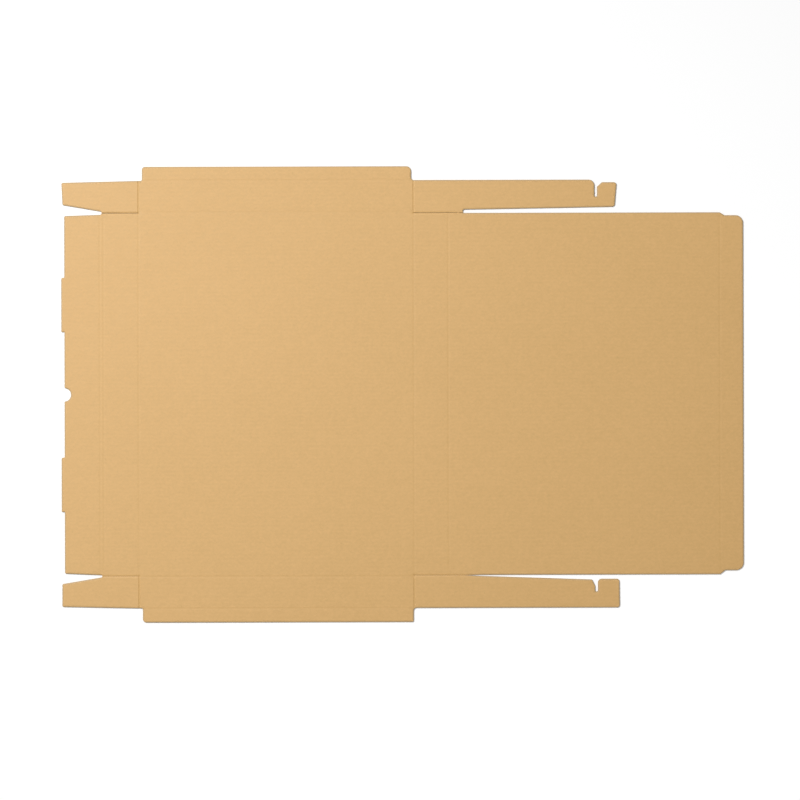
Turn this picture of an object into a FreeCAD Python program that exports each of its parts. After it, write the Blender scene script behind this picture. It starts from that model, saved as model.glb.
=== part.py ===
import FreeCAD, Part
import math
import os
from collections import namedtuple

# Flat die-cut blank of a thin folding mailer, cut from one sheet of corrugated board.
# It lies with its pressed creases up. +X runs from the front panel to the lid, +Y along the
# creases, +Z up. The origin is under the middle of the blank, on the face that it rests on.
# All lengths are in millimetres.

# Board, creases and knife cuts
board_thickness = 1.6
panel_crease_width = 2.4
panel_crease_depth = 0.18
ear_crease_width = 1.4
ear_crease_depth = 0.35
knife_cut_width = 0.5
nick_length = 1.2
nick_setback = 3.4

# Base panel, between its front and rear creases and its two side creases
base_depth = 231.0
base_length = 306.0

# Side walls and the flanges on their outer edges
side_wall_height = 26.6
flange_height = 11.7
flange_front_inset = 3.0
flange_front_radius = 2.8
flange_front_root_radius = 1.2
flange_rear_root_radius = 2.4
upper_flange_rear_inset = 2.0
upper_flange_rear_radius = 4.2
lower_flange_rear_inset = 0.6
lower_flange_rear_radius = 1.2

# Front wall, the double crease that it rolls over, and the inner panel behind it
front_wall_height = 29.5
roll_over_width = 3.0
inner_panel_height = 29.8
inner_panel_end_inset = 2.9
inner_panel_corner_radius = 1.2
front_slit_inset = 0.6

# Locking tabs and half-round thumb notch on the inner panel's free edge
tab_length = 45.6
tab_reach = 2.6
tab_offset = 75.5
tab_lead_radius = 1.8
tab_heel_radius = 0.4
thumb_radius = 5.6
thumb_depth = 5.4
thumb_mouth_radius = 0.8

# Front ears, the short dust flaps on the side walls
front_ear_tip_setback = 0.3
upper_front_tip_slant = 0.9
lower_front_tip_slant = 0.1
front_ear_outer_inset = 0.1
front_ear_outer_taper = 1.5
front_ear_inner_taper = 5.6
front_ear_corner_radius = 1.2
upper_front_gap = 2.6
lower_front_gap = 1.8

# Rear ears, the long flaps that lock into each other behind the rear wall
rear_ear_tip_radius = 2.4
rear_gap_start = 41.5
upper_rear_gap = 2.9
lower_rear_gap = 0.5
rear_gap_mouth = 4.9

# Lock notches, one in each rear ear at the middle of the rear wall. The upper ear is slit from
# its outer edge and the lower ear from its inner edge, so that the two ears cross as a half lap.
upper_tip_length = 17.6
upper_tip_slant = 1.8
lower_tip_length = 19.5
lower_tip_slant = 0.3
notch_slit_width = 2.2
notch_lap_clearance = 0.7
notch_lead_radius = 1.0
lock_slit_depth = 14.2
upper_notch_rounding = 4.8
upper_notch_lead_width = 4.2
upper_notch_lead_height = 3.8
upper_tip_setback = 2.1
lower_notch_rounding = 3.2
lower_notch_lead_width = 2.6
lower_notch_lead_height = 5.4
lower_tip_setback = -0.6

# Rear wall, lid and the tuck flap on the lid's free edge
rear_wall_height = 29.0
lid_depth = 228.0
lid_end_inset = 1.1
tuck_depth = 19.6
upper_tuck_inset = 2.4
lower_tuck_inset = 3.3
tuck_step_length = 4.0
tuck_step_radius = 1.0
tuck_corner_radius = 6.5

# A cut that ends in the board ends in arcs of this share of its width, and no rounded corner
# takes more than this share of the straight cut beside it
cut_end_share = 0.45
longest_arc_share = 0.49

# Places that follow from the sizes above, with the front crease at X = 0
base_half = base_length / 2
wall_edge = base_half + side_wall_height
flange_edge = wall_edge + flange_height
flange_front = flange_front_inset
roll_crease_outer = -front_wall_height
roll_crease_inner = -(front_wall_height + roll_over_width)
inner_panel_edge = roll_crease_inner - inner_panel_height
inner_panel_half = base_half - inner_panel_end_inset
front_gap_end = (roll_crease_outer + roll_crease_inner) / 2
front_slit_line = base_half - front_slit_inset
tab_edge = inner_panel_edge - tab_reach
front_ear_tip = tab_edge + front_ear_tip_setback
front_ear_outer = wall_edge - front_ear_outer_inset
rear_gap_end = base_depth + rear_gap_start
notch_line = base_depth + base_half
upper_slit_end = wall_edge - lock_slit_depth
lower_slit_end = upper_slit_end + notch_lap_clearance
lid_half = base_half - lid_end_inset
lid_crease = base_depth + rear_wall_height
tuck_crease = lid_crease + lid_depth
tuck_edge = tuck_crease + tuck_depth
front_limit = min(tab_edge, front_ear_tip)
rear_limit = max(tuck_edge, notch_line + upper_tip_length, notch_line + lower_tip_length)
middle_x = (front_limit + rear_limit) / 2

# What differs between the two sides of the blank. A notch cuts from the outer edge or from the
# inner edge of its ear, and the ear's tip is set back beyond it.
Notch = namedtuple("Notch", "from_outside slit_end rounding lead_width lead_height tip_setback")
Side = namedtuple("Side", "sign flange_rear flange_radius front_gap front_tip_slant "
                          "rear_gap rear_tip rear_tip_slant notch tuck_inset")

upper_side = Side(
    1, base_depth - upper_flange_rear_inset, upper_flange_rear_radius,
    upper_front_gap, upper_front_tip_slant,
    upper_rear_gap, notch_line + upper_tip_length, upper_tip_slant,
    Notch(True, upper_slit_end, upper_notch_rounding, upper_notch_lead_width,
          upper_notch_lead_height, upper_tip_setback),
    upper_tuck_inset)
lower_side = Side(
    -1, base_depth - lower_flange_rear_inset, lower_flange_rear_radius,
    lower_front_gap, lower_front_tip_slant,
    lower_rear_gap, notch_line + lower_tip_length, lower_tip_slant,
    Notch(False, lower_slit_end, lower_notch_rounding, lower_notch_lead_width,
          lower_notch_lead_height, lower_tip_setback),
    lower_tuck_inset)

# A crease that folds a panel is pressed wide and shallow, and one that folds an ear is pressed
# narrow and deep
Crease = namedtuple("Crease", "width depth")

panel_crease = Crease(panel_crease_width, panel_crease_depth)
ear_crease = Crease(ear_crease_width, ear_crease_depth)

# Corner of the die line: where two straight cuts would meet, and the radius between them
Corner = namedtuple("Corner", "x y radius")


def height_on_line(x, start_x, start_y, end_x, end_y):
    """Y at x on the straight line between two points."""
    return start_y + (end_y - start_y) * (x - start_x) / (end_x - start_x)


def front_ear_corners(side):
    """Die line of one front ear, from the inner panel's corner round the ear to the flange."""
    gap_half = side.front_gap / 2
    end_radius = cut_end_share * side.front_gap
    ear_inner = front_slit_line + gap_half
    return [
        Corner(inner_panel_edge, inner_panel_half, inner_panel_corner_radius),
        Corner(front_gap_end, front_slit_line - gap_half, end_radius),
        Corner(front_gap_end, ear_inner, end_radius),
        Corner(front_ear_tip + side.front_tip_slant, ear_inner + front_ear_inner_taper,
               front_ear_corner_radius),
        Corner(front_ear_tip, front_ear_outer - front_ear_outer_taper, front_ear_corner_radius),
        Corner(flange_front, front_ear_outer, flange_front_root_radius),
    ]


def flange_corners(side):
    """Die line of one side wall's flange, between its two ears."""
    return [
        Corner(flange_front, flange_edge, flange_front_radius),
        Corner(side.flange_rear, flange_edge, side.flange_radius),
        Corner(side.flange_rear, wall_edge, flange_rear_root_radius),
    ]


def notch_corners(notch, ear_y, tip_y, inward):
    """Lock notch, from the ear towards its tip. The ear's edge lies at ear_y before the notch
    and at tip_y beyond it, and inward is the way the slit runs, +1 or -1 in Y. The mouth is
    rounded on one side and leads in on a slant on the other."""
    near = notch_line - notch_slit_width / 2
    far = notch_line + notch_slit_width / 2
    lead = inward * notch.lead_height
    end_radius = cut_end_share * notch_slit_width
    slit = [Corner(near, notch.slit_end, end_radius), Corner(far, notch.slit_end, end_radius)]
    if notch.from_outside:
        slant = [Corner(far, tip_y + lead, 0),
                 Corner(far + notch.lead_width, tip_y, notch_lead_radius)]
        return [Corner(near, ear_y, notch.rounding)] + slit + slant
    slant = [Corner(near - notch.lead_width, ear_y, notch_lead_radius),
             Corner(near, ear_y + lead, 0)]
    return slant + slit + [Corner(far, tip_y, notch.rounding)]


def rear_ear_corners(side):
    """Die line of one rear ear, from the flange out to the tip and back to the gap's end."""
    inner_root = lid_half + side.rear_gap
    inner_tip = lid_half + rear_gap_mouth
    outer_tip = wall_edge
    outer_notch = []
    inner_notch = []
    if side.notch.from_outside:
        outer_tip = wall_edge - side.notch.tip_setback
        outer_notch = notch_corners(side.notch, wall_edge, outer_tip, -1)
    else:
        inner_ear = height_on_line(notch_line, rear_gap_end, inner_root, side.rear_tip, inner_tip)
        inner_tip = inner_ear + side.notch.tip_setback
        inner_notch = notch_corners(side.notch, inner_ear, inner_tip, 1)
    tip = [
        Corner(side.rear_tip, outer_tip, rear_ear_tip_radius),
        Corner(side.rear_tip - side.rear_tip_slant, inner_tip, rear_ear_tip_radius),
    ]
    end_radius = cut_end_share * side.rear_gap
    gap_end = [
        Corner(rear_gap_end, inner_root, end_radius),
        Corner(rear_gap_end, lid_half, end_radius),
    ]
    return outer_notch + tip + inner_notch[::-1] + gap_end


def tuck_corners(side):
    """Die line of one side of the lid, from the tuck crease round the tuck flap's corner."""
    tuck_half = lid_half - side.tuck_inset
    return [
        Corner(tuck_crease, lid_half, tuck_step_radius),
        Corner(tuck_crease + tuck_step_length, tuck_half, tuck_step_radius),
        Corner(tuck_edge, tuck_half, tuck_corner_radius),
    ]


def side_corners(side):
    """Whole die line of one side, from the inner panel to the tuck flap."""
    corners = front_ear_corners(side) + flange_corners(side) + rear_ear_corners(side)
    corners = corners + tuck_corners(side)
    return [Corner(c.x, side.sign * c.y, c.radius) for c in corners]


def tab_corners(sign):
    """One locking tab on the inner panel's free edge, in the order of rising Y."""
    low = sign * tab_offset - tab_length / 2
    high = sign * tab_offset + tab_length / 2
    return [
        Corner(inner_panel_edge, low, 0),
        Corner(tab_edge, low, tab_heel_radius),
        Corner(tab_edge, high, tab_lead_radius),
        Corner(inner_panel_edge, high, 0),
    ]


def closed_outline(corners):
    """Closed wire of straight cuts joined by tangent arcs at the rounded corners."""
    starts = []
    ends = []
    arcs = []
    for index, corner in enumerate(corners):
        here = FreeCAD.Vector(corner.x, corner.y, 0)
        before = corners[index - 1]
        after = corners[(index + 1) % len(corners)]
        back = FreeCAD.Vector(before.x, before.y, 0) - here
        ahead = FreeCAD.Vector(after.x, after.y, 0) - here
        longest_reach = longest_arc_share * min(back.Length, ahead.Length)
        half_angle = back.getAngle(ahead) / 2
        back.normalize()
        ahead.normalize()
        reach = min(corner.radius / math.tan(half_angle), longest_reach)
        starts.append(here + back * reach)
        ends.append(here + ahead * reach)
        radius = reach * math.tan(half_angle)
        middle = here + (back + ahead).normalize() * (radius / math.sin(half_angle) - radius)
        arcs.append(Part.Arc(starts[-1], middle, ends[-1]).toShape() if reach > 0 else None)
    edges = []
    for index, arc in enumerate(arcs):
        if arc is not None:
            edges.append(arc)
        following = starts[(index + 1) % len(corners)]
        edges.append(Part.LineSegment(ends[index], following).toShape())
    return Part.Wire(edges)


def plate(wire):
    """Sheet of board of full thickness inside a wire on the resting plane."""
    return Part.Face(wire).extrude(FreeCAD.Vector(0, 0, board_thickness))


def knife_cut(x0, x1, y0, y1):
    """Cutter for a slit right through the board."""
    return Part.makeBox(x1 - x0, y1 - y0, 3 * board_thickness,
                        FreeCAD.Vector(x0, y0, -board_thickness))


def knife_cuts(side):
    """Cuts that free one side's ears from the front wall and from the rear wall and lid. Each
    runs on into the round end of its gap."""
    half_cut = knife_cut_width / 2
    nick_end = rear_gap_end - nick_setback
    rear_line = lid_half + half_cut
    cuts = [(front_gap_end - side.front_gap / 2, 0, front_slit_line),
            (base_depth, nick_end - nick_length, rear_line),
            (nick_end, rear_gap_end + side.rear_gap / 2, rear_line)]
    return [knife_cut(x0, x1, side.sign * y - half_cut, side.sign * y + half_cut)
            for x0, x1, y in cuts]


def crease(kind, x0, y0, x1, y1):
    """Cutter for one pressed crease, a round-bottomed groove in the upper face."""
    start = FreeCAD.Vector(x0, y0, 0)
    run = FreeCAD.Vector(x1, y1, 0) - start
    radius = (kind.width ** 2 / 4 + kind.depth ** 2) / (2 * kind.depth)
    start.z = board_thickness + radius - kind.depth
    return Part.makeCylinder(radius, run.Length, start, run)


def creases():
    """Cutters for every fold of the blank."""
    past = ear_crease.width
    cross_folds = [
        (0, front_slit_line),
        (roll_crease_outer, front_slit_line),
        (roll_crease_inner, base_half),
        (base_depth, lid_half),
        (lid_crease, lid_half + knife_cut_width / 2),
        (tuck_crease, lid_half + past),
    ]
    cutters = [crease(panel_crease, x, -half, x, half) for x, half in cross_folds]
    for side in (upper_side, lower_side):
        sign = side.sign
        panel_folds = [(0, base_half, base_depth, base_half),
                       (flange_front, wall_edge, side.flange_rear, wall_edge)]
        ear_folds = [(0, front_slit_line, 0, wall_edge + past),
                     (base_depth, lid_half, base_depth, wall_edge - past / 2)]
        for kind, folds in ((panel_crease, panel_folds), (ear_crease, ear_folds)):
            for x0, y0, x1, y1 in folds:
                cutters.append(crease(kind, x0, sign * y0, x1, sign * y1))
    return cutters


def thumb_notch(blank):
    """Blank with the half-round notch for a thumb, its mouth's two corners rounded."""
    centre = FreeCAD.Vector(inner_panel_edge + thumb_depth - thumb_radius, 0, -board_thickness)
    notched = blank.cut(Part.makeCylinder(thumb_radius, 3 * board_thickness, centre))
    mouth = []
    for edge in notched.Edges:
        box = edge.BoundBox
        upright = box.ZLength > board_thickness / 2 and box.XLength < 0.01 and box.YLength < 0.01
        at_edge = abs(box.XMin - inner_panel_edge) < 0.01 and abs(box.YMin) < thumb_radius
        if upright and at_edge:
            mouth.append(edge)
    return notched.makeFillet(thumb_mouth_radius, mouth)


def blank_solid():
    """The whole blank as one solid, centred over the origin."""
    upper = side_corners(upper_side)
    lower = side_corners(lower_side)
    outline = tab_corners(-1) + tab_corners(1) + upper + lower[::-1]
    blank = thumb_notch(plate(closed_outline(outline)))
    blank = blank.cut(knife_cuts(upper_side) + knife_cuts(lower_side))
    blank = blank.cut(creases())
    blank.translate(FreeCAD.Vector(-middle_x, 0, 0))
    return blank.Solids[0]


os.makedirs("parts", exist_ok=True)
box_blank = blank_solid()
box_blank.exportStep("parts/box_blank.step")
bounds = box_blank.BoundBox
print("box_blank", "valid", box_blank.isValid(), "volume", round(box_blank.Volume, 1),
      "size", round(bounds.XLength, 2), round(bounds.YLength, 2), round(bounds.ZLength, 2),
      "x", round(bounds.XMin, 2), round(bounds.XMax, 2))
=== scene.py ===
import logging
import math
from dataclasses import dataclass, field
from enum import Enum

import bpy
import numpy as np
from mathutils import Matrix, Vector
from mathutils.geometry import delaunay_2d_cdt


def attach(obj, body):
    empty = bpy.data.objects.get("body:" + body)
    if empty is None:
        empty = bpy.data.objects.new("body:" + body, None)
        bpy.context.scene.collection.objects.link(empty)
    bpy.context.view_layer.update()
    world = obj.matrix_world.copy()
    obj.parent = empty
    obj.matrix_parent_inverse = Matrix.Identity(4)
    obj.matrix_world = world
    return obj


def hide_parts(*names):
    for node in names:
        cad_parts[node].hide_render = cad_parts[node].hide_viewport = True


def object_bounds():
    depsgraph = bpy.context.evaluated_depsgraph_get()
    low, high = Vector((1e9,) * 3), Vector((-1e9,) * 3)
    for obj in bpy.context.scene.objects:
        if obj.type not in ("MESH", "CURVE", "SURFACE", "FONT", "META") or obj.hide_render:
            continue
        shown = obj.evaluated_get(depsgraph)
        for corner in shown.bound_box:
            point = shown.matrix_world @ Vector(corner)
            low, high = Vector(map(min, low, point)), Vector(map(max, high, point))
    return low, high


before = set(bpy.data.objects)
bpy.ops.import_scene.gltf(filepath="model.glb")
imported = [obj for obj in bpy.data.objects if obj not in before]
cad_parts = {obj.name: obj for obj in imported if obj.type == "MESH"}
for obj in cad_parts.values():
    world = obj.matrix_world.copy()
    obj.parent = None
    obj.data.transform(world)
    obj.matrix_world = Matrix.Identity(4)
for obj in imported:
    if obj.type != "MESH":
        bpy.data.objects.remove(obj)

CAD_BOX = [[float(value) for value in corner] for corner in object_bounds()]
NODE_NAME = "box_blank"
MM = 0.001
TURN = 2.0 * math.pi
CHUNK = 1500
LOG = logging.getLogger("cardboard_blank")


class Paper(Enum):
    """The vertex attributes that tell the finish which paper of the board shows, and where it paints
    shade: in the creases, and in part along the crushed rim.
    """

    CUT = "cut"
    RIM = "rim"
    PRESS = "press"


class Across(Enum):
    """The axis that a crease is measured across; its line runs along the other one."""

    X = 0
    Y = 1


class CreaseKind(Enum):
    """How a crease is pressed: (half width, depth) in metres."""

    PANEL = (1.4 * MM, 0.07 * MM)
    EAR = (0.9 * MM, 0.34 * MM)


@dataclass(frozen=True)
class CorrugatedBoard:
    """Single-wall board: two flat liners glued to a fluted medium.

    Args:
        thickness: The whole board, in metres, as the solid has it.
        liner: One flat liner.
        medium: The fluted paper between the liners.
        pitch: From one flute to the next.
        crushed: How far the knife presses the upper liner down at a cut edge.
        crushed_width: How far in from the cut edge that reaches.
        glue_gap: The least height that is left between medium and liner.
    """

    thickness: float
    liner: float = 0.20 * MM
    medium: float = 0.19 * MM
    pitch: float = 3.5 * MM
    crushed: float = 0.30 * MM
    crushed_width: float = 1.4 * MM
    glue_gap: float = 0.012 * MM

    def flute_wave(self, across: np.ndarray) -> np.ndarray:
        """The medium's rise and fall, -1 to 1: the sine of the place across the flutes."""
        return np.sin(TURN * across / self.pitch)

    def top_height(self, inset: np.ndarray) -> np.ndarray:
        """The upper liner's height behind a cut edge.

        It is the thickness less the crushed height, which fades with the square of the
        share of the crushed width that is left.

        Args:
            inset: Distances in from the cut edge, in metres.

        Returns:
            Heights above the floor, in metres.
        """
        left = np.clip(1.0 - inset / self.crushed_width, 0.0, 1.0)
        return self.thickness - self.crushed * left**2

    def medium_middle(self, across: np.ndarray, top: np.ndarray) -> np.ndarray:
        """The height of the middle of the medium.

        It is half of the local height plus the wave times what the liners, the medium
        itself and the glue gap leave of that half.

        Args:
            across: Places across the flutes, in metres.
            top: The upper liner's height at those places.

        Returns:
            Heights above the floor, in metres.
        """
        swing = 0.5 * (top - self.medium) - self.liner - self.glue_gap
        return 0.5 * top + swing * self.flute_wave(across)


@dataclass(frozen=True)
class Crease:
    """One straight crease, pressed into the upper liner.

    Args:
        kind: Its width and depth.
        across: The axis that it is measured across.
        place: Where its line lies on that axis, in metres.
        start: Where it starts along the other axis.
        end: Where it ends.
    """

    kind: CreaseKind
    across: Across
    place: float
    start: float
    end: float

    def pressed(self, plan: np.ndarray, pitch: float) -> np.ndarray:
        """How deep the crease is at each place, as a share of its kind's depth.

        Half a cosine wave across the crease, deeper between the flutes by a cosine of the
        place across the flutes, and nothing past its ends.

        Args:
            plan: Places as rows of x and y.
            pitch: The board's flute pitch.

        Returns:
            Shares of the depth, from 0 to about 1.2.
        """
        half_width = self.kind.value[0]
        off = np.abs(plan[:, self.across.value] - self.place) / half_width
        along = plan[:, 1 - self.across.value]
        groove = 0.5 + 0.5 * np.cos(math.pi * np.clip(off, 0.0, 1.0))
        reach = np.clip(np.minimum(along - self.start, self.end - along) / MM + 1.0, 0.0, 1.0)
        ripple = 0.26 * np.cos(TURN * plan[:, 1] / pitch) * (self.across is Across.X)
        return groove * reach * (1.0 + ripple)

    def net(self, pitch: float) -> np.ndarray:
        """Points over the crease: rows across it, and steps along it that fit the flutes.

        Args:
            pitch: The board's flute pitch.

        Returns:
            Places as rows of x and y.
        """
        rows = np.array([-1.25, -1.0, -0.72, -0.42, 0.0, 0.42, 0.72, 1.0, 1.25])
        step = pitch / 4.0 if self.across is Across.X else 5.0 * MM
        along = np.arange(math.ceil(self.start / step), self.end / step) * step
        off, run = np.meshgrid(self.place + rows * self.kind.value[0], along)
        pair = [off.ravel(), run.ravel()]
        return np.column_stack(pair if self.across is Across.X else pair[::-1])


@dataclass
class CutLine:
    """The closed lines along which the blank is cut, with the board on the left.

    Args:
        plan: Points as rows of x and y, in metres.
        following: The index of the point that comes after each.
    """

    plan: np.ndarray
    following: np.ndarray

    @classmethod
    def of_underside(cls, node: bpy.types.Object) -> "CutLine":
        """Reads the cut line from the flat underside of the solid.

        Triangle sides that no other triangle shares, with their direction turned round,
        because the underside is seen from below.

        Args:
            node: The solid's object in the frame.

        Returns:
            The cut line, with the solid's own corner points.
        """
        mesh = node.data
        mesh.calc_loop_triangles()
        places = np.empty(3 * len(mesh.vertices))
        mesh.vertices.foreach_get("co", places)
        corners = np.empty(3 * len(mesh.loop_triangles), dtype=np.int32)
        mesh.loop_triangles.foreach_get("vertices", corners)
        places, corners = places.reshape(-1, 3), corners.reshape(-1, 3)
        low = corners[(places[corners][:, :, 2] < 1e-6).all(axis=1)]
        grid = np.round(places[low.ravel(), :2] / 1e-6).astype(np.int64)
        merged, index = np.unique(grid, axis=0, return_inverse=True)
        index = index.reshape(-1, 3)
        sides = np.concatenate([index[:, [0, 1]], index[:, [1, 2]], index[:, [2, 0]]])
        count = len(merged)
        there = sides[:, 0] * count + sides[:, 1]
        back = sides[:, 1] * count + sides[:, 0]
        rim = sides[~np.isin(there, back)]
        used, packed = np.unique(rim, return_inverse=True)
        packed = packed.reshape(-1, 2)
        following = np.empty(len(used), dtype=np.int64)
        following[packed[:, 1]] = packed[:, 0]
        return cls(merged[used] * 1e-6, following)

    @property
    def leading(self) -> np.ndarray:
        """The index of the point that comes before each."""
        before = np.empty_like(self.following)
        before[self.following] = np.arange(len(self.following))
        return before

    @property
    def sides(self) -> np.ndarray:
        """The vector from each point to the next."""
        return self.plan[self.following] - self.plan

    def without_short_sides(self, least: float) -> "CutLine":
        """The same line with the far end of every side left out that is shorter than least.

        Args:
            least: The shortest side that stays, in metres.

        Returns:
            The thinned line.
        """
        line = self
        for _ in range(60):
            short = np.linalg.norm(line.sides, axis=1) < least
            before = line.leading
            gone = short[before] & ~short[before[before]]
            if not gone.any():
                break
            after = line.following
            following = np.where(gone[after], after[after], after)
            kept = np.flatnonzero(~gone)
            index = np.cumsum(~gone) - 1
            line = CutLine(line.plan[kept], index[following[kept]])
        return line

    def divided(
        self, guides: tuple[np.ndarray, np.ndarray], ends: tuple, least: float
    ) -> "CutLine":
        """The same line with more points, where it crosses guide lines and near its corners.

        Args:
            guides: The x of the guides that run along y, and the y of those along x.
            ends: Distances from both ends of every long side, in metres.
            least: The shortest side that this may leave.

        Returns:
            The divided line.
        """
        sides = self.sides
        lengths = np.linalg.norm(sides, axis=1)
        owners, shares = [np.arange(len(sides))], [np.zeros(len(sides))]
        for axis, lines in enumerate(guides):
            low = np.minimum(self.plan[:, axis], self.plan[self.following, axis])
            high = np.maximum(self.plan[:, axis], self.plan[self.following, axis])
            first = np.searchsorted(lines, low, side="right")
            number = np.maximum(np.searchsorted(lines, high, side="left") - first, 0)
            owner = np.repeat(np.arange(len(sides)), number)
            rank = np.arange(number.sum()) - np.repeat(np.cumsum(number) - number, number)
            line = lines[np.repeat(first, number) + rank]
            owners.append(owner)
            shares.append((line - self.plan[owner, axis]) / sides[owner, axis])
        for end in ends:
            long = np.flatnonzero(lengths > 4.0 * end)
            owners += [long, long]
            shares += [end / lengths[long], 1.0 - end / lengths[long]]
        owner, share = np.concatenate(owners), np.concatenate(shares)
        order = np.lexsort((share, owner))
        owner, share = owner[order], share[order]
        run = share * lengths[owner]
        spare = np.diff(run, prepend=-1.0)
        first = np.diff(owner, prepend=-1) > 0
        fits = first | ((spare > least) & (lengths[owner] - run > least) & (run > least))
        owner, share, first = owner[fits], share[fits], first[fits]
        starts = np.flatnonzero(first)
        following = np.arange(1, len(owner) + 1)
        last = np.append(starts[1:] - 1, len(owner) - 1)
        following[last] = starts[self.following]
        return CutLine(self.plan[owner] + share[:, None] * sides[owner], following)

    def inward(self) -> tuple[np.ndarray, np.ndarray]:
        """The way into the board at each point.

        The mean of the left normals of the sides before and after the point, and one over
        the cosine of half their turn, which keeps a moved line parallel to this one.

        Returns:
            Unit vectors, and the stretch of each.
        """
        sides = self.sides
        sides = sides / np.linalg.norm(sides, axis=1)[:, None]
        normals = np.column_stack([-sides[:, 1], sides[:, 0]])
        total = normals + normals[self.leading]
        size = np.maximum(np.linalg.norm(total, axis=1), 1e-3)
        return total / size[:, None], np.minimum(2.0 / size, 1.6)

    def samples(self, step: float) -> np.ndarray:
        """Points all along the line, no further apart than step."""
        sides = self.sides
        number = np.ceil(np.linalg.norm(sides, axis=1) / step).astype(int)
        owner = np.repeat(np.arange(len(sides)), number)
        rank = np.arange(number.sum()) - np.repeat(np.cumsum(number) - number, number)
        return self.plan[owner] + (rank / number[owner])[:, None] * sides[owner]

    def room(self, ways: np.ndarray, side: int, most: float) -> np.ndarray:
        """How far the board, or the open cut, reaches beside each point.

        The radius of the largest circle that touches the line at the point and holds no
        other sample of it: distance squared over twice the distance along that way. At a
        corner that points the other way the shorter side beside it, over the sine of its
        turn, limits it too, and it changes along the line by no more than the way along it.

        Args:
            ways: The inward unit vectors.
            side: 1 for the board behind the points, -1 for the cut in front of them.
            most: The largest radius that matters.

        Returns:
            Radii, in metres.
        """
        samples = self.samples(0.45 * MM)
        directions = side * ways
        radii = np.full(len(self.plan), most)
        for part in np.array_split(np.arange(len(self.plan)), 12):
            away = samples[None, :, :] - self.plan[part][:, None, :]
            ahead = np.einsum("ijk,ik->ij", away, directions[part])
            square = np.einsum("ijk,ijk->ij", away, away)
            real = ahead > 0.02 * np.sqrt(square) + 1e-9
            radius = np.where(real, square / (2.0 * np.where(real, ahead, 1.0)), most)
            radii[part] = np.minimum(radii[part], radius.min(axis=1))
        sides, before = self.sides, self.leading
        lengths = np.linalg.norm(sides, axis=1)
        turns = np.cross(sides[before] / lengths[before][:, None], sides / lengths[:, None])
        shorter = np.minimum(lengths, lengths[before])
        outer = side * turns > 1e-3
        radii[outer] = np.minimum(radii[outer], 1.6 * shorter[outer] / np.abs(turns[outer]))
        for _ in range(10):
            radii = np.minimum(radii, radii[self.following] + lengths)
            radii = np.minimum(radii, radii[before] + lengths[before])
        return radii

    def holds(self, plan: np.ndarray) -> np.ndarray:
        """Which places lie inside the line.

        A ray to the right of each place crosses an odd number of sides.

        Args:
            plan: Places as rows of x and y.

        Returns:
            True for each place inside.
        """
        here, there = self.plan, self.plan[self.following]
        inside = np.zeros(len(plan), dtype=bool)
        rise = there[:, 1] - here[:, 1]
        slope = (there[:, 0] - here[:, 0]) / np.where(rise == 0.0, 1.0, rise)
        for part in np.array_split(np.arange(len(plan)), max(1, len(plan) // CHUNK)):
            x, y = plan[part, 0][:, None], plan[part, 1][:, None]
            spans = (here[None, :, 1] > y) != (there[None, :, 1] > y)
            meets = here[None, :, 0] + slope[None, :] * (y - here[None, :, 1]) > x
            inside[part] = (spans & meets).sum(axis=1) % 2 == 1
        return inside


@dataclass
class Surface:
    """Points, faces and finish attributes of a mesh while it is put together.

    Args:
        points: Blocks of places in metres.
        faces: Blocks of triangles or quads, as indices into all the points.
        marks: The attribute values of each block of points.
    """

    points: list = field(default_factory=list)
    faces: list = field(default_factory=list)
    marks: dict = field(default_factory=lambda: {paper: [] for paper in Paper})

    @property
    def count(self) -> int:
        """How many points there are so far."""
        return sum(len(block) for block in self.points)

    def add_points(self, places: np.ndarray, **marks: np.ndarray) -> np.ndarray:
        """Adds a block of points.

        Args:
            places: Rows of x, y and z.
            marks: Attribute values by the attribute's name; a missing one is 0.

        Returns:
            The indices of the new points.
        """
        first = self.count
        self.points.append(places)
        for paper in Paper:
            value = marks.get(paper.value, 0.0)
            self.marks[paper].append(np.broadcast_to(value, len(places)).astype(np.float32))
        return np.arange(first, first + len(places))

    def to_mesh(self, name: str) -> bpy.types.Mesh:
        """Makes the mesh, smooth only where the upper liner is pressed.

        Args:
            name: The mesh's name.

        Returns:
            The mesh with its attributes.
        """
        mesh = bpy.data.meshes.new(name)
        places = np.concatenate(self.points)
        faces = [face for block in self.faces for face in block.tolist()]
        mesh.from_pydata(places.tolist(), [], faces)
        for paper in Paper:
            values = np.concatenate(self.marks[paper])
            mesh.attributes.new(paper.value, "FLOAT", "POINT").data.foreach_set("value", values)
        corner = np.empty(len(mesh.loops), dtype=np.int32)
        mesh.loops.foreach_get("vertex_index", corner)
        starts = np.empty(len(mesh.polygons), dtype=np.int32)
        mesh.polygons.foreach_get("loop_start", starts)
        cut = np.concatenate(self.marks[Paper.CUT])[corner]
        shaped = np.concatenate(self.marks[Paper.PRESS]) + np.concatenate(self.marks[Paper.RIM])
        cut_face = np.add.reduceat(cut, starts) > 0.5
        soft_face = np.add.reduceat(shaped[corner], starts) > 1e-3
        mesh.polygons.foreach_set("use_smooth", soft_face & ~cut_face)
        mesh.validate()
        mesh.update()
        return mesh


def triangulated(plan: np.ndarray, sides: np.ndarray) -> np.ndarray:
    """Joins points of the plan into triangles that keep the given sides.

    Args:
        plan: Places as rows of x and y.
        sides: Pairs of indices that must be triangle sides.

    Returns:
        Triangles as indices into plan, counter-clockwise.

    Raises:
        ValueError: If points were merged, or sides crossed.
    """
    points = [Vector(place) for place in (plan / MM).tolist()]
    made = delaunay_2d_cdt(points, sides.tolist(), [], 0, 1e-6, True)
    if len(made[0]) != len(plan) or any(len(origin) != 1 for origin in made[3]):
        raise ValueError(f"{len(plan)} points gave {len(made[0])}")
    origin = np.array(made[3]).ravel()
    return origin[np.array(made[2])]


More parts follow.
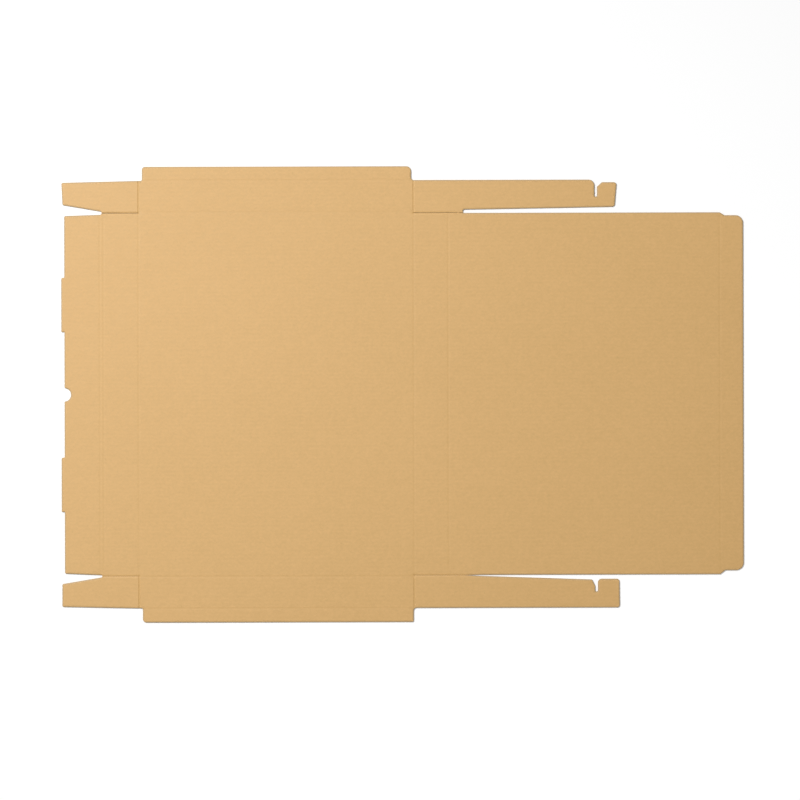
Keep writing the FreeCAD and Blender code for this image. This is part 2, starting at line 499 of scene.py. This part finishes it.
@dataclass(frozen=True)
class KraftFinish:
    """Brown kraft liner with its fluted medium at the cuts.

    Args:
        liner: The liner's colour, linear.
        section: The colour of the cut papers.
        spread: How far the palest and darkest fibres lie from the liner's colour.
        worn_and_shaded: The darker colour that the crushed rim is mixed towards, partly for its
            crushed fibres and partly as painted shade along the cut edges.
        roughness: The liner's roughness.
        gloss: The liner's specular level.
        pitch: The flute pitch, for the faint washboard lines: a bump, and bands of painted shade in
            the tone.
    """

    liner: tuple[float, float, float] = (0.635, 0.374, 0.122)
    section: tuple[float, float, float] = (0.52, 0.31, 0.12)
    spread: tuple[float, float, float] = (0.12, 0.13, 0.24)
    worn_and_shaded: tuple[float, float, float] = (0.27, 0.22, 0.13)
    roughness: float = 0.62
    gloss: float = 0.9
    pitch: float = 3.5 * MM

    def material(self, name: str) -> bpy.types.Material:
        """Builds the material.

        The tone is a half plus shares of cloudy, blotched, mottled and fibrous noises and
        of the washboard sine, and it mixes the darkest fibres' colour with the palest's. The
        washboard share paints faint bands of shade along the flutes, the press mark lowers the
        tone as painted shade in the creases, and the rim mark mixes in a darker colour, partly
        for the crushed fibres and partly as painted shade along the cut edges.

        Args:
            name: The material's name.

        Returns:
            The material.
        """
        made = bpy.data.materials.new(name)
        made.use_nodes = True
        nodes = NodeDesk(made.node_tree)
        shader = nodes.tree.nodes["Principled BSDF"]
        place = nodes.add("ShaderNodeTexCoord").outputs["Object"]
        cloud = nodes.noise(place, (7.0, 9.0, 7.0), detail=3.0)
        blotch = nodes.noise(place, (120.0, 170.0, 150.0), detail=2.0)
        mottle = nodes.noise(place, (380.0, 520.0, 450.0), detail=3.0, rough=0.62)
        fibre = nodes.noise(place, (2600.0, 620.0, 1200.0), detail=2.0, rough=0.7)
        fleck = nodes.noise(place, (900.0, 380.0, 700.0), detail=1.0)
        across = nodes.add("ShaderNodeSeparateXYZ", Vector=place).outputs["Y"]
        wobble = nodes.math("MULTIPLY", nodes.noise(place, (3.0, 3.0, 3.0)), 2.4)
        angle = nodes.math("ADD", nodes.math("MULTIPLY", across, TURN / self.pitch), wobble)
        washboard = nodes.math("SINE", angle)
        shares = [(cloud, 0.25), (blotch, 0.30), (mottle, 0.95), (fibre, 0.70)]
        middle = 0.5 - 0.5 * sum(share for _, share in shares)
        # painted shade: the washboard sine also lightens and darkens the tone in faint bands along
        # the flutes, as the liner's undulation would shade them
        tone = nodes.total([*shares, (washboard, 0.03)], middle)
        dark = nodes.ramp(fleck, ((0.70, 0.0), (0.80, 0.4)))
        tone = nodes.math("SUBTRACT", tone, dark)
        marks = {
            paper: nodes.add("ShaderNodeAttribute", attribute_name=paper.value).outputs["Fac"]
            for paper in Paper
        }
        # painted shade: the crease mark lowers the tone, darkening the liner in the creases where
        # shade falls
        tone = nodes.math("SUBTRACT", tone, nodes.math("MULTIPLY", marks[Paper.PRESS], 0.35))
        low, high = (
            [value * (1.0 + sign * share) for value, share in zip(self.liner, self.spread)]
            for sign in (-1.0, 1.0)
        )
        fibres = nodes.mix("MIX", tone, (*low, 1.0), (*high, 1.0))
        # partly painted shade: the rim mark mixes the liner towards a darker colour along every cut
        # edge, for the crushed fibres and for the shade that falls there
        wear_and_shade = nodes.math("MULTIPLY", marks[Paper.RIM], 0.8)
        fibres = nodes.mix("MIX", wear_and_shade, fibres, (*self.worn_and_shaded, 1.0))
        colour = nodes.mix("MIX", marks[Paper.CUT], fibres, (*self.section, 1.0))
        nodes.link(colour, shader.inputs["Base Color"])
        rough = nodes.total([(mottle, 0.16), (marks[Paper.CUT], 0.2)], self.roughness - 0.08)
        nodes.link(rough, shader.inputs["Roughness"])
        shader.inputs["Specular IOR Level"].default_value = self.gloss
        height = nodes.total([(mottle, 0.35), (fibre, 0.5), (washboard, 0.06)], 0.0)
        bump = nodes.add("ShaderNodeBump", Height=height)
        bump.inputs["Strength"].default_value = 0.55
        bump.inputs["Distance"].default_value = 0.05 * MM
        nodes.link(bump.outputs["Normal"], shader.inputs["Normal"])
        return made


class NodeDesk:
    """Short calls that add shader nodes to one node tree."""

    def __init__(self, tree: bpy.types.NodeTree) -> None:
        """Keeps the tree."""
        self.tree = tree

    def link(self, source: bpy.types.NodeSocket, target: bpy.types.NodeSocket) -> None:
        """Joins an output to an input."""
        self.tree.links.new(source, target)

    def feed(self, socket: bpy.types.NodeSocket, value: object) -> None:
        """Links an output into a socket, or sets the socket to a number or colour."""
        if isinstance(value, bpy.types.NodeSocket):
            self.link(value, socket)
        else:
            socket.default_value = value

    def add(self, kind: str, attribute_name: str = "", **inputs: object) -> bpy.types.Node:
        """Adds a node.

        Args:
            kind: The node's type.
            attribute_name: For an attribute node, the attribute that it reads.
            inputs: Values or outputs for its inputs, by name.

        Returns:
            The node.
        """
        node = self.tree.nodes.new(kind)
        if attribute_name:
            node.attribute_name = attribute_name
        for name, value in inputs.items():
            self.feed(node.inputs[name], value)
        return node

    def math(self, operation: str, first: object, second: object = 0.0) -> bpy.types.NodeSocket:
        """A math node of two values, and its output."""
        node = self.tree.nodes.new("ShaderNodeMath")
        node.operation = operation
        self.feed(node.inputs[0], first)
        self.feed(node.inputs[1], second)
        return node.outputs[0]

    def total(self, terms: list, start: float) -> bpy.types.NodeSocket:
        """The start value plus each output times its share, as one output."""
        total = start
        for output, share in terms:
            total = self.math("ADD", self.math("MULTIPLY", output, share), total)
        return total

    def noise(
        self, place: object, scale: tuple, detail: float = 2.0, rough: float = 0.5
    ) -> bpy.types.NodeSocket:
        """A noise from 0 to 1 over stretched coordinates.

        Args:
            place: The coordinates.
            scale: How often it repeats in a metre, along x, y and z.
            detail: Its octaves.
            rough: The share of each further octave.

        Returns:
            The noise's output.
        """
        mapping = self.add("ShaderNodeMapping", Vector=place, Scale=scale)
        node = self.add("ShaderNodeTexNoise", Vector=mapping.outputs["Vector"])
        node.inputs["Scale"].default_value = 1.0
        node.inputs["Detail"].default_value = detail
        node.inputs["Roughness"].default_value = rough
        return node.outputs["Fac"]

    def ramp(self, value: object, stops: tuple) -> bpy.types.NodeSocket:
        """A map range from the first stop's place and value to the second's."""
        (low, start), (high, end) = stops
        node = self.add("ShaderNodeMapRange", Value=value)
        node.inputs["From Min"].default_value = low
        node.inputs["From Max"].default_value = high
        node.inputs["To Min"].default_value = start
        node.inputs["To Max"].default_value = end
        return node.outputs["Result"]

    def mix(self, blend: str, share: object, first: object, second: object) -> bpy.types.NodeSocket:
        """A colour mix.

        Args:
            blend: The blend type.
            share: How much of the second colour.
            first: The first colour.
            second: The second colour.

        Returns:
            The mixed colour's output.
        """
        node = self.tree.nodes.new("ShaderNodeMix")
        node.data_type = "RGBA"
        node.blend_type = blend
        node.clamp_factor = True
        self.feed(node.inputs["Factor"], share)
        colours = [socket for socket in node.inputs if socket.type == "RGBA"]
        self.feed(colours[0], first)
        self.feed(colours[1], second)
        return next(socket for socket in node.outputs if socket.type == "RGBA")


@dataclass
class BoxBlank:
    """The die-cut blank: liners, pressed creases, and open flutes along every cut.

    Args:
        board: The board that it is cut from.
        creases: Every crease.
        finish: The kraft finish.
        flute_steps: Points on one flute along a cut that crosses the flutes.
        plan_step: The spacing of the plain net over the panels.
        flute_depth: How deep the open flutes are, seen from their ends.
        side_depth: How deep the section is along a cut that follows the flutes.
        rim_insets: Rows over the crushed rim, in from the cut.
        scallop: How far the upper liner's edge draws back over an open flute.
        slit_width: The width of the knife's slits, whose edges spring back together.
        net_margin: How near the plain net comes to a crease, in half widths of it.
        net_grid: Points of the nets that fall in one square of this side become one.
        net_clear: How near a point of the nets may lie to the rim's last row.
        widest_room: The largest half width of board or cut that matters.
        room_share: How much of the half width behind a cut its rows may use.
        least_inset: The least distance that a row is moved in.
        medium_inset: How far in the medium's cut edge lies.
        medium_lean: How much further in it lies at its crests.
        fray_count: After how many flutes the frayed edges repeat.
        fray_seed: Seed of the frayed edges.
        short_side: Sides of the cut line that are shorter are joined to the next.
        end_steps: Points that the cut line gets from both ends of a long side.
        least_side: The shortest side that those points may leave.
        lower_shut: How far the lower liner closes a slit, as a share.
        ear_shut: How far the whole board closes the slits of the lower ears, the upper rear
            ear and the upper front ear.
    """

    board: CorrugatedBoard
    creases: list[Crease]
    finish: KraftFinish
    flute_steps: int = 8
    plan_step: float = 8.0 * MM
    flute_depth: float = 2.2 * MM
    side_depth: float = 0.45 * MM
    rim_insets: tuple = (0.0, 0.14 * MM, 0.5 * MM, 1.4 * MM)
    scallop: float = 0.16 * MM
    slit_width: float = 0.5 * MM
    net_margin: float = 1.8
    net_grid: float = 0.2 * MM
    net_clear: float = 0.45 * MM
    widest_room: float = 12.0 * MM
    room_share: float = 0.55
    least_inset: float = 0.003 * MM
    medium_inset: float = 0.08 * MM
    medium_lean: float = 0.05 * MM
    fray_count: int = 97
    fray_seed: int = 4
    short_side: float = 0.12 * MM
    end_steps: tuple[float, float] = (0.5 * MM, 1.5 * MM)
    least_side: float = 0.07 * MM
    lower_shut: float = 0.8
    ear_shut: tuple[float, float, float] = (0.8, 0.5, 0.35)

    def pressed(self, plan: np.ndarray) -> tuple[np.ndarray, np.ndarray]:
        """Depth and strength of the creases at each place.

        Args:
            plan: Places as rows of x and y.

        Returns:
            The deepest crease's depth in metres, and its share of an ear crease's depth.
        """
        depth = np.zeros(len(plan))
        for crease in self.creases:
            share = crease.pressed(plan, self.board.pitch)
            depth = np.maximum(depth, share * crease.kind.value[1])
        return depth, np.clip(depth / CreaseKind.EAR.value[1], 0.0, 1.0)

    def guides(self) -> tuple[np.ndarray, np.ndarray]:
        """Lines where the cut line gets points: along the flutes, and over the creases."""
        low, high = (np.array(corner) for corner in CAD_BOX)
        shares = np.array([-1.0, -0.6, -0.3, 0.0, 0.3, 0.6, 1.0])
        coarse = np.arange(low[0], high[0], self.plan_step)
        pressed = [
            crease.place + shares * crease.kind.value[0]
            for crease in self.creases
            if crease.across is Across.X
        ]
        step = self.board.pitch / self.flute_steps
        fine = np.arange(math.ceil(low[1] / step), high[1] / step) * step
        return np.unique(np.concatenate([coarse, *pressed])), fine

    def add_band(self, surface: Surface, line: CutLine) -> tuple[np.ndarray, np.ndarray]:
        """Carries the board's section along the cut line.

        From the underside's rim up the lower liner, into the flute below the medium, round
        the medium's edge, into the flute above it, up the upper liner's edge and over its
        crushed rim. Depths stay under a share of the room behind each point.

        Args:
            surface: Takes the points and faces.
            line: The divided cut line.

        Returns:
            Indices of the rim of the underside, and of the last row over the top.
        """
        ways, stretch = line.inward()
        room = line.room(ways, 1, self.widest_room)
        limit = np.maximum(self.room_share * room, self.least_inset)
        wave = self.board.flute_wave(line.plan[:, 1])
        ends_on = np.abs(ways[:, 0])
        void = line.room(ways, -1, self.widest_room)
        slit = void * np.clip(2.5 - 2.8 * void / self.slit_width, 0.0, 1.0)
        lower, upper_rear, upper_front = self.ear_shut
        upper = np.where(line.plan[:, 0] > 0.0, upper_rear, upper_front)
        shut = np.where(line.plan[:, 1] < 0.0, lower, upper)
        open_cut_share = 1.0 - slit / void
        plan_cut = line.plan - (shut * slit)[:, None] * ways
        plan_floor = line.plan - (np.maximum(shut, self.lower_shut) * slit)[:, None] * ways

        def moved(inset: object) -> tuple[np.ndarray, np.ndarray]:
            """The plan moved in, and how far each point moved."""
            real = np.minimum(inset * stretch, limit)
            return plan_cut + real[:, None] * ways, real

        flutes = np.floor(line.plan[:, 1] / self.board.pitch).astype(int) % self.fray_count
        frayed = np.random.default_rng(self.fray_seed).random(self.fray_count)[flutes] ** 2
        drawn = self.scallop * np.clip(-wave, 0.0, 1.0) ** 4 * (0.3 + 1.4 * frayed)
        deep = self.side_depth + (self.flute_depth - self.side_depth) * ends_on
        plan_edge, _ = moved(drawn)
        plan_front, inset_front = moved(self.medium_inset + self.medium_lean * np.abs(wave))
        plan_back, inset_back = moved(deep)
        press, _ = self.pressed(line.plan)
        top_rim = self.board.top_height(np.zeros(len(line.plan))) - press
        top_front = self.board.top_height(inset_front) - press
        top_back = self.board.top_height(inset_back) - self.pressed(plan_back)[0]
        front = self.board.medium_middle(plan_front[:, 1], top_rim)
        back = self.board.medium_middle(plan_back[:, 1], np.minimum(top_back, top_front))
        half = 0.5 * self.board.medium
        liner = np.full(len(line.plan), self.board.liner)
        ceiling = np.minimum(top_back, top_rim + 0.5 * inset_back) - self.board.liner
        rows = [
            # the underside's rim row gets a share of the same darker rim colour, partly painted
            # shade
            (plan_floor, np.zeros(len(line.plan)), {"rim": 0.4}),
            (plan_floor, liner, {"cut": 1.0}),
            (plan_back, liner, {"cut": 1.0}),
            (plan_back, back - half, {"cut": 1.0}),
            (plan_front, front - half, {"cut": 1.0}),
            (plan_front, front + half, {"cut": 1.0}),
            (plan_back, back + half, {"cut": 1.0}),
            (plan_back, np.maximum(ceiling, back + half + self.board.glue_gap), {"cut": 1.0}),
            (plan_edge, top_rim - self.board.liner, {"cut": 1.0}),
        ]
        for inset in self.rim_insets:
            plan, real = moved(inset)
            if inset == 0.0:
                plan = plan_edge
            share = max(0.0, 1.0 - inset / self.rim_insets[-1])
            down, mark = self.pressed(plan)
            last = inset == self.rim_insets[-1]
            flat = np.full(len(plan), self.board.thickness)
            height = flat if last else self.board.top_height(real)
            # the rim mark paints a darker rim, partly crushed fibres and partly painted shade, less
            # where a slit is shut; the press mark paints shade in the creases
            rows.append((plan, height - down, {"rim": share**2 * open_cut_share, "press": mark}))
        indices = [
            surface.add_points(np.column_stack([plan, height]), **marks)
            for plan, height, marks in rows
        ]
        for lower, upper in zip(indices[:-1], indices[1:]):
            after = line.following
            surface.faces.append(np.column_stack([lower, lower[after], upper[after], upper]))
        return indices[0], indices[-1]

    def add_underside(self, surface: Surface, line: CutLine, rim: np.ndarray) -> None:
        """Closes the flat underside between the cut lines."""
        low = CutLine(np.concatenate(surface.points)[rim, :2], line.following)
        triangles = triangulated(low.plan, np.column_stack([np.arange(len(rim)), low.following]))
        middle = low.plan[triangles].mean(axis=1)
        surface.faces.append(rim[triangles[low.holds(middle)]][:, ::-1])

    def add_face(self, surface: Surface, line: CutLine, rim: np.ndarray) -> None:
        """Closes the upper liner, with the creases pressed into it.

        Args:
            surface: Takes the points and faces.
            line: The line of the last row over the rim.
            rim: The indices of that row.
        """
        low, high = (np.array(corner) for corner in CAD_BOX)
        steps = [np.arange(low[axis] + 3.0 * MM, high[axis], self.plan_step) for axis in (0, 1)]
        plain = np.column_stack([axis.ravel() for axis in np.meshgrid(*steps)])
        clear = np.ones(len(plain), dtype=bool)
        nets = []
        for crease in self.creases:
            off = np.abs(plain[:, crease.across.value] - crease.place)
            along = plain[:, 1 - crease.across.value]
            beside = (along > crease.start) & (along < crease.end)
            clear &= ~(beside & (off < self.net_margin * crease.kind.value[0]))
            nets.append(crease.net(self.board.pitch))
        inner = np.concatenate([plain[clear], *nets])
        grid = np.round(inner / self.net_grid).astype(np.int64)
        inner = inner[np.unique(grid, axis=0, return_index=True)[1]]
        inner = inner[line.holds(inner)]
        samples = line.samples(0.5 * MM)
        nearest = np.full(len(inner), 1.0)
        for part in np.array_split(np.arange(len(inner)), max(1, len(inner) // CHUNK)):
            gap = inner[part][:, None, :] - samples[None, :, :]
            nearest[part] = np.einsum("ijk,ijk->ij", gap, gap).min(axis=1)
        inner = inner[nearest > self.net_clear**2]
        down, mark = self.pressed(inner)
        # the press mark also darkens the creases in the finish, as painted shade
        added = surface.add_points(np.column_stack([inner, self.board.thickness - down]), press=mark)
        plan = np.concatenate([line.plan, inner])
        index = np.concatenate([rim, added])
        sides = np.column_stack([np.arange(len(rim)), line.following])
        triangles = triangulated(plan, sides)
        all_rim = (triangles < len(rim)).all(axis=1)
        keep = ~all_rim
        keep[all_rim] = line.holds(plan[triangles[all_rim]].mean(axis=1))
        surface.faces.append(index[triangles[keep]])

    def build(self) -> bpy.types.Object:
        """Builds the blank as one closed mesh.

        Returns:
            The object, at the origin, with its place in its mesh.
        """
        solid = CutLine.of_underside(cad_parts[NODE_NAME])
        coarse = solid.without_short_sides(self.short_side)
        line = coarse.divided(self.guides(), self.end_steps, self.least_side)
        LOG.info("cut line: %d corner points, %d columns", len(coarse.plan), len(line.plan))
        surface = Surface()
        underside, top = self.add_band(surface, line)
        self.add_underside(surface, line, underside)
        top_plan = np.concatenate(surface.points)[top, :2]
        self.add_face(surface, CutLine(top_plan, line.following), top)
        blank = bpy.data.objects.new("kraft_blank", surface.to_mesh("kraft_blank"))
        bpy.context.scene.collection.objects.link(blank)
        return blank

    def dress(self, blank: bpy.types.Object) -> None:
        """Gives the blank its finish and its place in the frame."""
        blank.data.materials.append(self.finish.material("kraft_liner"))
        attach(blank, "root")
        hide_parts(NODE_NAME)


@dataclass(frozen=True)
class SoftLight:
    """A square soft light that is aimed at the blank.

    Args:
        name: The lamp's name.
        place: Where it hangs, in metres.
        size: Its side.
        share: What it adds to the level at the blank's middle, where 1 is plain.
    """

    name: str
    place: tuple[float, float, float]
    size: float
    share: float

    def hang(self) -> bpy.types.Object:
        """Adds the lamp to the scene, unseen by the camera itself.

        Its power is its share times pi squared and the cube of its distance, over its height.

        Returns:
            The lamp's object.
        """
        lamp = bpy.data.lights.new(self.name, "AREA")
        lamp.shape = "SQUARE"
        lamp.size = self.size
        lamp.energy = self.share * math.pi**2 * Vector(self.place).length ** 3 / self.place[2]
        thing = bpy.data.objects.new(self.name, lamp)
        thing.location = self.place
        thing.rotation_euler = (-Vector(self.place)).to_track_quat("-Z", "Y").to_euler()
        thing.visible_camera = False
        bpy.context.scene.collection.objects.link(thing)
        return thing


@dataclass(frozen=True)
class WhiteFloor:
    """A plain white floor under the blank.

    Args:
        side: The floor's side, in metres.
        drop: How far it lies below the blank's underside.
        shade: Its grey.
        glow: What camera rays get on top, so that the unshaded floor is white, near the
            key light and on the far side.
        glow_span: Where it rises, along the slant away from the key light, in metres.
        far_glow: What camera rays get on top far from the blank, where the key light fades.
        far_span: Where that rises, as distances from the middle.
    """

    side: float = 8.0
    drop: float = 0.02 * MM
    shade: float = 1.0
    glow: tuple[float, float] = (0.09, 0.30)
    glow_span: tuple[float, float] = (-0.15, 0.65)
    far_glow: float = 0.62
    far_span: tuple[float, float] = (0.5, 2.2)

    def build(self) -> bpy.types.Object:
        """Builds the floor.

        Returns:
            The floor's object.
        """
        half = self.side / 2.0
        signs = np.array([(-1.0, -1.0), (1.0, -1.0), (1.0, 1.0), (-1.0, 1.0)])
        places = np.column_stack([signs * half, np.full(4, -self.drop)])
        mesh = bpy.data.meshes.new("white_floor")
        mesh.from_pydata(places.tolist(), [], [(0, 1, 2, 3)])
        floor = bpy.data.objects.new("white_floor", mesh)
        bpy.context.scene.collection.objects.link(floor)
        mesh.materials.append(self.material())
        return floor

    def material(self) -> bpy.types.Material:
        """Matt white, plus a glow for camera, glossy and transmission rays."""
        made = bpy.data.materials.new("white_floor")
        made.use_nodes = True
        nodes = NodeDesk(made.node_tree)
        nodes.tree.nodes.remove(nodes.tree.nodes["Principled BSDF"])
        matt = nodes.add("ShaderNodeBsdfDiffuse", Color=(self.shade, self.shade, self.shade, 1.0))
        place = nodes.add("ShaderNodeTexCoord").outputs["Object"]
        axes = nodes.add("ShaderNodeSeparateXYZ", Vector=place).outputs
        slant = nodes.math("SUBTRACT", axes["X"], axes["Y"])
        squares = [nodes.math("MULTIPLY", axes[name], axes[name]) for name in ("X", "Y")]
        distance = nodes.math("SQRT", nodes.math("ADD", *squares))
        near = nodes.ramp(slant, tuple(zip(self.glow_span, self.glow)))
        far = nodes.ramp(distance, tuple(zip(self.far_span, (0.0, self.far_glow))))
        lift = nodes.math("ADD", near, far)
        strength = nodes.math("MULTIPLY", seen_ray(nodes), lift)
        glow = nodes.add("ShaderNodeEmission", Strength=strength)
        both = nodes.add("ShaderNodeAddShader")
        nodes.link(matt.outputs[0], both.inputs[0])
        nodes.link(glow.outputs[0], both.inputs[1])
        nodes.link(both.outputs[0], nodes.tree.nodes["Material Output"].inputs["Surface"])
        return made


def seen_ray(nodes: NodeDesk) -> bpy.types.NodeSocket:
    """1 for a camera, glossy or transmission ray and 0 for a ray that lights something."""
    path = nodes.add("ShaderNodeLightPath").outputs
    either = nodes.math("MAXIMUM", path["Is Camera Ray"], path["Is Glossy Ray"])
    return nodes.math("MAXIMUM", either, path["Is Transmission Ray"])


@dataclass(frozen=True)
class Studio:
    """Camera, lamps, world and floor.

    Args:
        camera_height: The camera's height above the floor, in metres.
        frame_width: The width that the picture shows at the blank, in metres.
        aim: The point of the blank in the middle of the picture, in metres.
        roll: How far the picture is turned, in radians.
        ambient: The world's strength on the blank.
        lights: The soft lights.
        floor: The floor.
    """

    camera_height: float = 2.2
    frame_width: float = 0.672
    aim: tuple[float, float] = (-0.00206, -0.00502)
    roll: float = 0.0025
    ambient: float = 0.227
    lights: tuple = (SoftLight("key_softbox", (-0.80, 0.60, 1.84), 0.5, 0.71),)
    floor: WhiteFloor = WhiteFloor()

    def place_camera(self) -> None:
        """Looks straight down, with a lens of sensor width times height over the width shown."""
        data = bpy.data.cameras.new("camera")
        data.sensor_width = 36.0
        data.lens = data.sensor_width * self.camera_height / self.frame_width
        data.clip_start, data.clip_end = 0.05, 50.0
        camera = bpy.data.objects.new("camera", data)
        camera.location = (*self.aim, self.camera_height)
        camera.rotation_euler = (0.0, 0.0, -self.roll)
        bpy.context.scene.collection.objects.link(camera)
        bpy.context.scene.camera = camera

    def light_world(self) -> None:
        """An even world that lights at the ambient strength and shows white."""
        world = bpy.data.worlds.new("studio")
        world.use_nodes = True
        bpy.context.scene.world = world
        nodes = NodeDesk(world.node_tree)
        lift = nodes.math("MULTIPLY", seen_ray(nodes), 1.0 - self.ambient)
        strength = nodes.math("ADD", lift, self.ambient)
        nodes.link(strength, nodes.tree.nodes["Background"].inputs["Strength"])
        nodes.tree.nodes["Background"].inputs["Color"].default_value = (1.0, 1.0, 1.0, 1.0)

    def build(self) -> None:
        """Sets up the whole studio."""
        self.place_camera()
        self.light_world()
        self.floor.build()
        lamps = [light.hang() for light in self.lights]
        bpy.context.scene.view_settings.view_transform = "Standard"
        LOG.info("studio: %d soft lights, camera %.2f m above", len(lamps), self.camera_height)


def crease_plan() -> list[Crease]:
    """Every crease of the blank, in metres, named as the box is folded.

    Returns:
        Panel creases along both axes, and the creases of the four ears.
    """
    front, rear = -221.35 * MM, 9.65 * MM
    creases = [
        Crease(CreaseKind.PANEL, Across.X, front, -152.4 * MM, 152.4 * MM),
        Crease(CreaseKind.PANEL, Across.X, rear, -151.9 * MM, 151.9 * MM),
        Crease(CreaseKind.PANEL, Across.X, -250.85 * MM, -150.6 * MM, 150.6 * MM),
        Crease(CreaseKind.PANEL, Across.X, -253.85 * MM, -150.1 * MM, 150.1 * MM),
        Crease(CreaseKind.PANEL, Across.X, 38.65 * MM, -151.9 * MM, 151.9 * MM),
        Crease(CreaseKind.PANEL, Across.X, 266.65 * MM, -149.2 * MM, 149.2 * MM),
    ]
    for sign in (-1.0, 1.0):
        creases.append(Crease(CreaseKind.PANEL, Across.Y, sign * 153.0 * MM, front, rear))
        flange = (-218.35 * MM, (7.65 if sign > 0 else 9.05) * MM)
        creases.append(Crease(CreaseKind.PANEL, Across.Y, sign * 179.6 * MM, *flange))
        for place, inner, outer in ((front, 152.4, 180.6), (rear, 151.9, 178.9)):
            ends = sorted((sign * inner * MM, sign * outer * MM))
            creases.append(Crease(CreaseKind.EAR, Across.X, place, *ends))
    return creases


def main() -> None:
    """Builds the blank and the studio, and reports each piece."""
    logging.basicConfig(level=logging.INFO, format="%(name)s: %(message)s")
    board = CorrugatedBoard(thickness=CAD_BOX[1][2] - CAD_BOX[0][2])
    blank = BoxBlank(board, crease_plan(), KraftFinish(pitch=board.pitch))
    piece = blank.build()
    blank.dress(piece)
    mesh = piece.data
    triangles = sum(len(polygon.vertices) - 2 for polygon in mesh.polygons)
    LOG.info("%s: %d points, %d triangles", piece.name, len(mesh.vertices), triangles)
    Studio().build()


if __name__ == "__main__":
    main()
